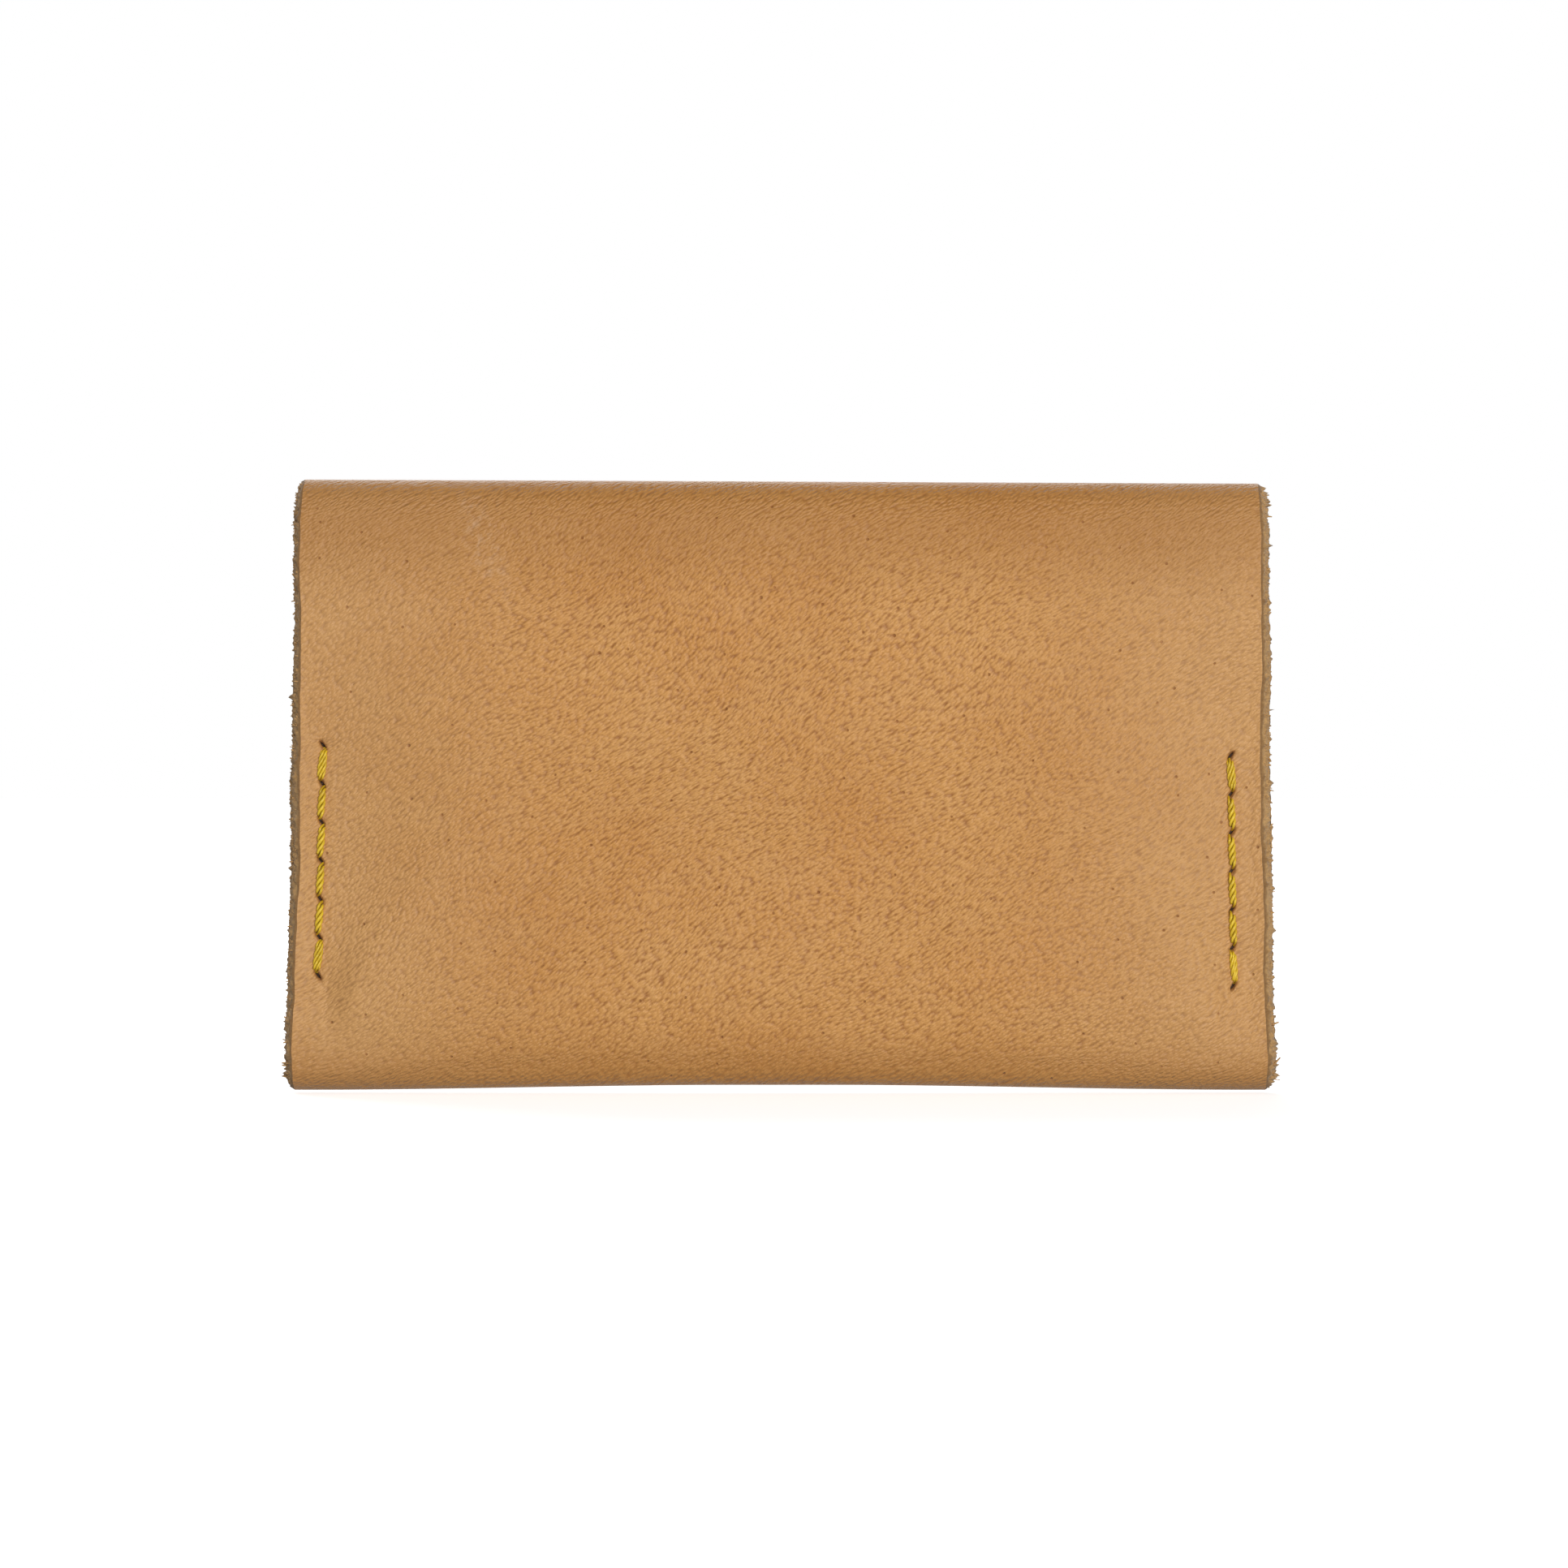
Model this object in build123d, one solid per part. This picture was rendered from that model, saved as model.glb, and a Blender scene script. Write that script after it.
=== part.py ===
"""Fold-over card holder: one strip of vegetable-tanned leather, folded twice and sewn at both sides.

It stands upright as it is carried, with the bottom fold on z = 0 and the top fold at the top. The back panel
faces -Y and the flap faces +Y. X runs across the width. All sizes are in millimetres.
"""
import os
from math import cos, degrees, pi, radians, sin, sqrt

from build123d import *

# ---- Driving dimensions ----
leather = 1.5  # thickness of the hide
width = 101.0  # width of the strip
height = 62.6  # closed height, over both folds
pocket_gap = 4.8  # room between the back panel and the pocket front, away from the seams
flap_clearance = 0.3  # room between the pocket front and the closed flap
pocket_edge_z = 39.0  # the pocket's mouth
flap_edge_z = 19.0  # the free edge of the closed flap

# ---- Sewing ----
stitch_pitch = 3.95
holes_per_seam = 7
left_seam_x = -47.4
right_seam_x = 46.5
left_seam_low_z = 11.6
right_seam_low_z = 10.5
slit_length = 1.5
slit_width = 0.75
slit_lean = 38.0  # degrees, the slits of the two seams lean away from each other
thread_radius = 0.37
thread_waist = 0.3  # radius where the thread is squeezed through a slit
backstitch_offset = 0.26  # each strand of a doubled end stitch lies this far from the seam's line
thread_lift = 0.01  # keeps the thread clear of the leather that it lies on

# ---- How the panels are drawn together at the seams ----
pinch_start_x = 43.4  # the panels are a full pocket gap apart inside this
pinch_end_x = 45.4  # and lie together outside this
pinch_full_low_z = 9.6  # the pinch grows from the bottom fold up to here
pinch_full_high_z = 40.0  # and dies away from here to the top fold
back_pinch = 1.4  # the back panel's share of it; the pocket front comes the rest of the way
seam_gap = 0.06  # left between the two layers where they lie together

# ---- The top fold, which rolls open in equal strips ----
fold_strips = 3
strip_gap = 0.1  # cut between neighbouring strips, at the outer surface

# ---- Worked out from the above ----
total = 3 * leather + pocket_gap + flap_clearance
top_fold_r = total / 2
top_fold_z = height - top_fold_r
pocket_mid_y = -top_fold_r + leather + pocket_gap / 2
bottom_fold_r = pocket_gap / 2 + leather
bottom_fold_z = bottom_fold_r
back_y = -top_fold_r
pocket_front_y = pocket_mid_y + pocket_gap / 2
flap_y = top_fold_r - leather
strip_angle = 180.0 / (fold_strips + 1)
strip_half_gap = degrees(strip_gap / 2 / top_fold_r)  # in degrees round the fold
front_pinch = pocket_gap - seam_gap - back_pinch
seam_mid_y = back_y + leather + back_pinch + seam_gap / 2


def box_between(low, high):
    """A box from its lowest corner to its highest."""
    sizes = [b - a for a, b in zip(low, high)]
    middle = [(a + b) / 2 for a, b in zip(low, high)]
    return Pos(*middle) * Box(*sizes)


def drawn_block(rest_y, drawn, columns, rows):
    """A block of panel between two columns and two rows, each given as (place, share of the pinch)."""

    def control(ends, i):
        (start, start_share), (end, end_share) = ends
        return start + (end - start) * i / 3, start_share if i < 2 else end_share

    points = []
    for i in range(4):
        x, across = control(columns, i)
        line = []
        for j in range(4):
            z, along = control(rows, j)
            line.append((x, rest_y + drawn * across * along, z))
        points.append(line)
    return Solid.extrude(Face.make_bezier_surface(points), Vector(0, leather, 0))


def panel(rest_y, drawn, low_z, high_z):
    """A sheet of leather that fills rest_y to rest_y + leather, and moves by drawn along Y at the seams."""
    rows = [(low_z, 0), (pinch_full_low_z, 1), (min(high_z, pinch_full_high_z), 1)]
    if high_z > pinch_full_high_z:
        rows.append((high_z, 0))
    middle = box_between((-pinch_start_x, rest_y, low_z), (pinch_start_x, rest_y + leather, high_z))
    blocks = []
    for side in (-1, 1):
        columns = [(side * pinch_start_x, 0), (side * pinch_end_x, 1), (side * width / 2, 1)]
        for column in zip(columns, columns[1:]):
            for row in zip(rows, rows[1:]):
                blocks.append(drawn_block(rest_y, drawn, column, row))
    return middle.fuse(*blocks)


def fold_arc(centre_y, centre_z, outer_r, start, end):
    """Leather bent round a fold, from start to end degrees. 0 is towards -Y and 90 is up."""
    inner_r = outer_r - leather

    def at(radius, angle):
        turned = radians(angle)
        return (centre_y - radius * cos(turned), centre_z + radius * sin(turned))

    middle = (start + end) / 2
    outline = [
        ThreePointArc(at(outer_r, start), at(outer_r, middle), at(outer_r, end)),
        Line(at(outer_r, end), at(inner_r, end)),
        ThreePointArc(at(inner_r, end), at(inner_r, middle), at(inner_r, start)),
        Line(at(inner_r, start), at(outer_r, start)),
    ]
    across = Plane(origin=(-width / 2, 0, 0), x_dir=(0, 1, 0), z_dir=(1, 0, 0))
    return extrude(across * make_face(outline), width)


def top_arc(start, end):
    return fold_arc(0, top_fold_z, top_fold_r, start, end)


def hole_heights(low_z):
    return [low_z + i * stitch_pitch for i in range(holes_per_seam)]


seams = {
    "left": (left_seam_x, hole_heights(left_seam_low_z), -slit_lean),
    "right": (right_seam_x, hole_heights(right_seam_low_z), slit_lean),
}


def slits():
    """The leaning slits that the pricking iron leaves, through every layer of both seams."""
    cutters = []
    for seam_x, heights, lean in seams.values():
        for z in heights:
            cutter = Rot(0, lean, 0) * Box(slit_width, 2 * total, slit_length)
            cutters.append(Pos(seam_x, seam_mid_y, z) * cutter)
    return cutters


def back_panel():
    """The back, with the start of the top fold, which stays with it when the flap opens."""
    sheet = panel(back_y, back_pinch, bottom_fold_z, top_fold_z)
    half_strip = strip_angle / 2 - strip_half_gap
    return (sheet + top_arc(0, half_strip)) - slits()


def bottom_fold():
    return fold_arc(pocket_mid_y, bottom_fold_z, bottom_fold_r, -180, 0)


def pocket_front():
    return panel(pocket_front_y, -front_pinch, bottom_fold_z, pocket_edge_z) - slits()


def top_fold_strip(number):
    """One strip of the top fold. Each turns on the line where it meets the one before it."""
    start = strip_angle * (number - 0.5) + strip_half_gap
    end = strip_angle * (number + 0.5) - strip_half_gap
    return top_arc(start, end)


def flap():
    """The flap, with the end of the top fold, which stays with it."""
    low = (-width / 2, flap_y, flap_edge_z)
    high = (width / 2, flap_y + leather, top_fold_z)
    half_strip = 180 - strip_angle / 2 + strip_half_gap
    return box_between(low, high) + top_arc(half_strip, 180)


def strand(x, y, low_z, high_z):
    """One stitch lying on the leather, with rounded ends."""
    length = high_z - low_z
    rod = Pos(x, y, low_z + length / 2) * Cylinder(thread_radius, length)
    ends = [Pos(x, y, z) * Sphere(thread_radius) for z in (low_z, high_z)]
    return [rod, *ends]


def seam_thread(seam):
    """A saddle-stitched seam: one thread that passes every hole twice, doubled at both ends of the row."""
    seam_x, heights, _ = seams[seam]
    reach = leather + seam_gap / 2 + thread_radius + thread_lift
    faces = (seam_mid_y - reach, seam_mid_y + reach)
    pieces = []
    for z in heights:
        leg = Rot(90, 0, 0) * Cylinder(thread_waist, 2 * reach)
        pieces.append(Pos(seam_x, seam_mid_y, z) * leg)
    stitches = list(zip(heights, heights[1:]))
    for y in faces:
        for low_z, high_z in stitches:
            doubled = (low_z, high_z) in (stitches[0], stitches[-1])
            offsets = (-backstitch_offset, backstitch_offset) if doubled else (0,)
            for offset in offsets:
                pieces += strand(seam_x + offset, y, low_z, high_z)
    first, *others = pieces
    return first.fuse(*others)


def fold_hinge(number):
    """The (y, z) of the line that a strip turns on. It is on the outer surface, so nothing is pressed."""
    angle = radians(strip_angle * (number - 0.5))
    return (-top_fold_r * cos(angle), top_fold_z + top_fold_r * sin(angle))


nodes = {
    "back_panel": back_panel(),
    "bottom_fold": bottom_fold(),
    "pocket_front": pocket_front(),
    "flap": flap(),
    "left_seam_thread": seam_thread("left"),
    "right_seam_thread": seam_thread("right"),
}
for strip in range(1, fold_strips + 1):
    nodes[f"top_fold_strip_{strip}"] = top_fold_strip(strip)

os.makedirs("parts", exist_ok=True)
for name, shape in nodes.items():
    export_step(shape, f"parts/{name}.step")

# The length of the strip before it was folded, along the middle of its thickness.
strip_length = (
    (top_fold_z - flap_edge_z)
    + pi * (top_fold_r - leather / 2)
    + (top_fold_z - bottom_fold_z)
    + pi * (bottom_fold_r - leather / 2)
    + (pocket_edge_z - bottom_fold_z)
)
# The tallest level at which a full-thickness card stack meets the rounded inside of the bottom fold.
card_half = pocket_gap / 2 - 0.2
card_rest_z = bottom_fold_z - sqrt((bottom_fold_r - leather) ** 2 - card_half**2)
print(f"strip {width:.1f} x {strip_length:.1f} mm, total thickness {total:.1f} mm")
print(f"a {2 * card_half:.1f} mm stack of cards rests at z = {card_rest_z:.2f} mm")
for hinge in range(1, fold_strips + 2):
    y, z = fold_hinge(hinge)
    print(f"fold hinge {hinge}: y = {y:.4f}, z = {z:.4f} mm")
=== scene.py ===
from math import cos, pi, radians, sin, tau

import bmesh
import bpy
import numpy as np
from mathutils import Matrix, Vector, kdtree


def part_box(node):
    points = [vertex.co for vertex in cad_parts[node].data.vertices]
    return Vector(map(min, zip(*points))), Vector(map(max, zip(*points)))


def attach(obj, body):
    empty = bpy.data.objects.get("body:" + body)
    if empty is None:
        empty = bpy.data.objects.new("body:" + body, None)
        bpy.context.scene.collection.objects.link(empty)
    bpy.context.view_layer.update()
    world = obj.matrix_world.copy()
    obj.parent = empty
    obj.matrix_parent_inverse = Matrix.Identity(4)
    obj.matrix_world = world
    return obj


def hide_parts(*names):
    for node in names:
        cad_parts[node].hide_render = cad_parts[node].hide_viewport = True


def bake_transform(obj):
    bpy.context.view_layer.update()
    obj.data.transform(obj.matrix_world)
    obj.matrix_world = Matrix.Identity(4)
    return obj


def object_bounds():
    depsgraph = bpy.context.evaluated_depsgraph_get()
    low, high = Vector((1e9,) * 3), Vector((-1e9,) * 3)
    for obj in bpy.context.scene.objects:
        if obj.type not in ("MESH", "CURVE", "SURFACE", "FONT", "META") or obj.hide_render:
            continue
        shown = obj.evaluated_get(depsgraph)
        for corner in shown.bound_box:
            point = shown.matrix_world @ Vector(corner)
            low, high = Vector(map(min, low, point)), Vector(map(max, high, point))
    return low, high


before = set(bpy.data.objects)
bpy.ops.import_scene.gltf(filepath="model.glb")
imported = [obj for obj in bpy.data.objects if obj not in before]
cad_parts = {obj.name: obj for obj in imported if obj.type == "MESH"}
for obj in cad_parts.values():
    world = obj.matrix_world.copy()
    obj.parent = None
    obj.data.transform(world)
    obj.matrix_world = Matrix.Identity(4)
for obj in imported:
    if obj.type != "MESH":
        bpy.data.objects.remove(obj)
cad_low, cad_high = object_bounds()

# ---- The leather strip ----
# One strip of vegetable-tanned cowhide, grain side out, folded at the bottom into a card pocket and over the
# top into a flap. It is built as four lengths that meet on the top fold.
mm = 0.001
hide = 1.5 * mm
bevel_left, bevel_right = 0.62 * mm, 0.8 * mm  # the knife leaned, so the grain side is narrower by this much
fold_low, fold_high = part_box("bottom_fold")
top_radius = cad_high.y - hide / 2
top_centre = cad_high.z - cad_high.y
bottom_radius = (fold_high.y - fold_low.y - hide) / 2
bottom_centre = fold_high.z
pocket_middle = (fold_high.y + fold_low.y) / 2
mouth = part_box("pocket_front")[1].z
flap_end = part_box("flap")[0].z
half_width = cad_high.x

# Distances along the strip, from the pocket's mouth to the end of the flap.
front_end = mouth - bottom_centre
bottom_end = front_end + pi * bottom_radius
back_end = bottom_end + top_centre - bottom_centre
top_end = back_end + pi * top_radius
strip_end = top_end + top_centre - flap_end

# The two sewn rows: where their line is at the lowest and the highest hole, how many degrees their slits
# lean, and how far a stitch slants to each side of the line. Half a thread stands out past the end holes.
half_thread = 0.37 * mm
hole_count = 7
rows_sewn = {
    "left": {"low_x": -47.65 * mm, "high_x": -47.1 * mm, "lean": -40.0, "slant": 0.27 * mm},
    "right": {"low_x": 46.55 * mm, "high_x": 46.35 * mm, "lean": 40.0, "slant": -0.2 * mm},
}
for side, sewn in rows_sewn.items():
    thread_low, thread_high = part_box(f"{side}_seam_thread")
    sewn["heights"] = np.linspace(thread_low.z + half_thread, thread_high.z - half_thread, hole_count)
    sewn["across"] = np.linspace(sewn["low_x"], sewn["high_x"], hole_count)


def ease(value, start, end):
    """0 up to the start, 1 from the end on, and a smooth change between them."""
    share = np.clip((value - start) / (end - start), 0, 1)
    return share * share * (3 - 2 * share)


def wander(place, seed, wavelength, size):
    """A smooth, uneven line, as a hand cuts. It adds five waves, each shorter and lower than the last."""
    chance = np.random.default_rng(seed)
    total = 0 * place
    for wave in range(5):
        turn = tau * place * 1.87**wave / wavelength + chance.uniform(0, tau)
        total = total + np.sin(turn) / 1.5**wave
    return size * total / 2


def flesh_half_width(along, side):
    """Half the strip's width on its flesh side. It was cut a little wider where it folds at the bottom."""
    places = [0, front_end, bottom_end, back_end - 30 * mm, back_end, top_end, strip_end]
    if side < 0:
        widths = [50.2, 50.8, 50.9, 50.2, 49.9, 49.6, 50.1]
    else:
        widths = [50.3, 50.8, 50.9, 50.4, 50.2, 50.0, 50.4]
    unevenness = wander(along, seed=5 + side, wavelength=23 * mm, size=0.13 * mm)
    return np.interp(along, places, widths) * mm + unevenness


most_tightness = 0.95 * mm
sag_middle, sag_ends = 0.2 * mm, -0.3 * mm


def tightness(x):
    """How much smaller the bottom fold's radius is. The fold is pulled tighter towards the seams."""
    return most_tightness * ease(np.abs(x), 24 * mm, 50 * mm)


def sag(x):
    """The folded edge isn't quite straight: it is lowest at its two ends."""
    return sag_middle + (sag_ends - sag_middle) * ease(np.abs(x), 5 * mm, 48 * mm)


def bottom_level(x):
    return bottom_centre - tightness(x) + sag(x)


top_tilt = 0.22 * mm  # how much the top fold is out of level at each end


def top_level(x):
    return top_centre - top_tilt * x / half_width


bottom_lean = 0.75 * mm  # how much narrower the pocket is at the bottom fold than at its crown
top_lean = 0.6 * mm  # how much each panel leans in at the top fold
top_lean_start = 46.0 * mm


def bottom_narrowing(x):
    return bottom_lean * (1 - ease(np.abs(x), 28 * mm, 49 * mm))


def crown_level(x):
    """Where the pocket is deepest: highest in the middle, and close to the fold at the sides."""
    return 12.5 * mm - 6.0 * mm * (x / half_width) ** 2


def round_fold(radius, narrowing, slope, angle):
    """The radius of a fold that is narrower than it is high, and that runs on into leaning panels."""
    across, along = np.abs(np.cos(angle)), np.sin(angle)
    pull = (radius - narrowing) * slope
    return radius - narrowing * across**2 - pull * along * across**3


# Soft swellings and hollows of the back panel, in mm: how far across and how high each lies, how wide and how
# tall it is, and how far it stands out.
swells = [
    (-5.0, 33.0, 9.0, 15.0, 0.22),
    (22.0, 31.0, 9.0, 20.0, 0.30),
    (-39.0, 40.0, 7.0, 12.0, 0.18),
    (-43.0, 20.0, 6.0, 11.0, -0.35),
    (13.0, 44.0, 14.0, 7.0, -0.10),
    (41.0, 26.0, 5.0, 12.0, 0.15),
]


def swelling(x, z):
    total = 0 * x
    for across, height, wide, tall, out in swells:
        spread = ((x / mm - across) / wide) ** 2 + ((z / mm - height) / tall) ** 2
        total = total + out * mm * np.exp(-spread)
    return total


pulled_in = 0.16 * mm  # how deep the threads sink their rows into the leather
pulled_width = 0.75 * mm
pull_start, pull_end = 0.2 * mm, 1.6 * mm  # the sunk line fades between these distances past its end holes


def seam_line(x, z):
    """1 on the line of the nearer sewn row, and 0 away from it."""
    near = 0 * x
    for sewn in rows_sewn.values():
        line = np.interp(z, sewn["heights"], sewn["across"])
        lowest, highest = sewn["heights"][0], sewn["heights"][-1]
        ends = ease(z, lowest - pull_end, lowest - pull_start)
        ends = ends * (1 - ease(z, highest + pull_start, highest + pull_end))
        near = near + ends * np.exp(-(((x - line) / pulled_width) ** 2))
    return near


def panel_depth(x, z, drawn, start, reach):
    """How far a panel lies from the pocket's middle plane. It is drawn in by this much at the seams, growing
    from start to reach across."""
    low = bottom_level(x)
    crown = crown_level(x)
    below = 1 - np.clip((z - low) / (crown - low), 0, 1)
    depth = bottom_radius - bottom_narrowing(x) * below**2
    depth = depth - tightness(x) * (1 - ease(z, low, low + 6 * mm))
    height = ease(z, low + 0.8 * mm, low + 7.5 * mm)
    return depth - drawn * ease(np.abs(x), start, reach) * height - pulled_in * seam_line(x, z)


front_drawn, back_drawn = 3.34 * mm, 1.4 * mm  # how far the two panels are drawn in where they are sewn
crowning = 0.3 * mm  # how far the back stands out over the pocket's deepest part
crown_height, crown_spread = 13 * mm, 9 * mm
edge_flare = 0.3 * mm  # how far the back's cut edges curl out
flap_droop = 0.55 * mm  # how far the flap's free corners fall towards the pocket


def middle_of_hide(x, along):
    """The middle of the hide's thickness, folded up."""
    low, top = bottom_level(x), top_level(x)

    # The pocket front, from its mouth down to the bottom fold.
    front_z = mouth + (low - mouth) * along / front_end
    front_y = pocket_middle + panel_depth(x, front_z, front_drawn, 36 * mm, 46.2 * mm)

    # The back panel, which the seams draw in over a wider stretch the higher it is.
    share = (along - bottom_end) / (back_end - bottom_end)
    back_z = low + (top - low) * share
    start = 43 * mm - 13 * mm * ease(back_z, 8 * mm, 30 * mm)
    fade = 1 - ease(back_z, 34 * mm, 55 * mm)
    back_depth = panel_depth(x, back_z, back_drawn * fade, start, 47 * mm)
    lean = np.clip((back_z - top_lean_start) / (top - top_lean_start), 0, 1) ** 2
    crown = crowning * np.exp(-(((back_z - crown_height) / crown_spread) ** 2)) * (1 - (x / half_width) ** 2)
    flare = edge_flare * ease(np.abs(x), 48.3 * mm, 50.6 * mm) * fade
    clear_of_folds = ease(back_z, low, low + 7 * mm) * (1 - ease(back_z, top - 9 * mm, top))
    back_depth = back_depth - top_lean * lean + clear_of_folds * (swelling(x, back_z) + crown + flare)
    back_y = pocket_middle - back_depth

    # The bottom fold.
    radius = bottom_radius - tightness(x)
    turn = pi * (along - front_end) / (bottom_end - front_end)
    slope = 2 * bottom_narrowing(x) / (crown_level(x) - low)
    bend = round_fold(radius, bottom_narrowing(x), slope, turn)
    bottom_y, bottom_z = pocket_middle + bend * np.cos(turn), low - bend * np.sin(turn)

    # The top fold.
    turn = pi * (along - back_end) / (top_end - back_end)
    slope = 2 * top_lean / (top - top_lean_start)
    bend = round_fold(top_radius, top_lean, slope, turn)
    top_y, top_z = -bend * np.cos(turn), top + bend * np.sin(turn)

    # The flap.
    flap_z = top - (along - top_end)
    lean = np.clip((flap_z - top_lean_start) / (top - top_lean_start), 0, 1) ** 2
    droop = flap_droop * ease(np.abs(x), 38 * mm, 50 * mm) * (1 - ease(flap_z, 34 * mm, 56 * mm))
    flap_y = top_radius - top_lean * lean - droop

    lengths = [along < front_end, along < bottom_end, along < back_end, along < top_end]
    y = np.select(lengths, [front_y, bottom_y, back_y, top_y], flap_y)
    z = np.select(lengths, [front_z, bottom_z, back_z, top_z], flap_z)
    return np.stack([x, y, z], axis=-1)


def on_hide(x, along, lift):
    """Places at a distance from the middle of the hide, outwards where lift is positive."""
    x, along, lift = np.broadcast_arrays(*(np.asarray(v, float) for v in (x, along, lift)))
    step = 0.03 * mm
    across = middle_of_hide(x + step, along) - middle_of_hide(x - step, along)
    onward = middle_of_hide(x, along + step) - middle_of_hide(x, along - step)
    outward = np.cross(across, onward)
    outward /= np.linalg.norm(outward, axis=-1, keepdims=True)
    return middle_of_hide(x, along) + outward * lift[..., None]


def back_along(x, z):
    """How far along the strip a place on the back panel is."""
    low, top = bottom_level(x), top_level(x)
    return bottom_end + (back_end - bottom_end) * (z - low) / (top - low)


def front_along(x, z):
    """How far along the strip a place on the pocket front is."""
    low = bottom_level(x)
    return front_end * (z - mouth) / (low - mouth)


slit_half_length, slit_half_width, slit_depth = 0.6 * mm, 0.12 * mm, 0.8 * mm
slit_surround = 3 * mm  # how far from its slit a place is still measured
far_away = 9.0


def place_in_slit(x, along):
    """How far a place is along and across the nearest pricked slit, in half lengths and half widths. Each
    slit leans, and the two rows lean opposite ways."""
    length, width = far_away + 0 * x, far_away + 0 * x
    for sewn in rows_sewn.values():
        lean = radians(sewn["lean"])
        for across, height in zip(sewn["across"], sewn["heights"]):
            for where, up in ((back_along(across, height), 1), (front_along(across, height), -1)):
                dx, dz = x - across, (along - where) * up
                half_pitch = 0.5 * (sewn["heights"][1] - sewn["heights"][0])
                near = (np.abs(dx) < slit_surround) & (np.abs(dz) < half_pitch)
                length = np.where(near, np.abs(dx * sin(lean) + dz * cos(lean)) / slit_half_length, length)
                width = np.where(near, (dx * cos(lean) - dz * sin(lean)) / slit_half_width, width)
    return length, width


def slit(length, width):
    """1 in the slits, and 0 away from them. The leather is drawn in a little round each."""
    return np.exp(-(length**4) - (width / 1.9) ** 2)


def stations(*stretches):
    """Places spaced evenly within each stretch: (start, number of steps) and so on, then the end."""
    places = []
    for (start, steps), following in zip(stretches, stretches[1:]):
        places += list(np.linspace(start, following[0], steps, endpoint=False))
    return np.array(places + [stretches[-1][0]])


# The columns of points lie close together under the stitches, and spread out to the cut beyond the inner edge.
inner_edge = 48.9 * mm
columns = stations(
    (-inner_edge, 18),
    (-46.2 * mm, 6),
    (-43.0 * mm, 50),
    (43.0 * mm, 4),
    (45.2 * mm, 18),
    (47.9 * mm, 3),
    (inner_edge, 0),
)
edge_steps = 5


def start_slab(across, lengthways):
    """A thin closed box of so many points each way, with its upper skin at height 1 and its lower at 0."""
    bm = bmesh.new()
    bmesh.ops.create_grid(bm, x_segments=across - 1, y_segments=lengthways - 1, size=0.5)
    raised = bmesh.ops.extrude_face_region(bm, geom=bm.faces[:], use_keep_orig=True)
    verts = [v for v in raised["geom"] if isinstance(v, bmesh.types.BMVert)]
    bmesh.ops.translate(bm, verts=verts, vec=(0, 0, 1))
    bmesh.ops.recalc_face_normals(bm, faces=bm.faces[:])
    return bm


def slab_spots(mesh, across, lengthways):
    """Which skin, row and column each point of a slab is in."""
    spots = np.empty(len(mesh.vertices) * 3)
    mesh.vertices.foreach_get("co", spots)
    spots = spots.reshape(-1, 3)
    column = np.round((spots[:, 0] + 0.5) * (across - 1)).astype(int)
    row = np.round((spots[:, 1] + 0.5) * (lengthways - 1)).astype(int)
    return np.round(spots[:, 2]).astype(int), row, column


def show(name, mesh):
    piece = bpy.data.objects.new(name, mesh)
    bpy.context.collection.objects.link(piece)
    return piece


# The strip map holds distances across and along the strip. The walls of the cut lie beside the skins on it.
side_walls_at, end_walls_at = 0.2, 0.3
grain_slot, flesh_slot, cut_slot = 0, 1, 2


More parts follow.
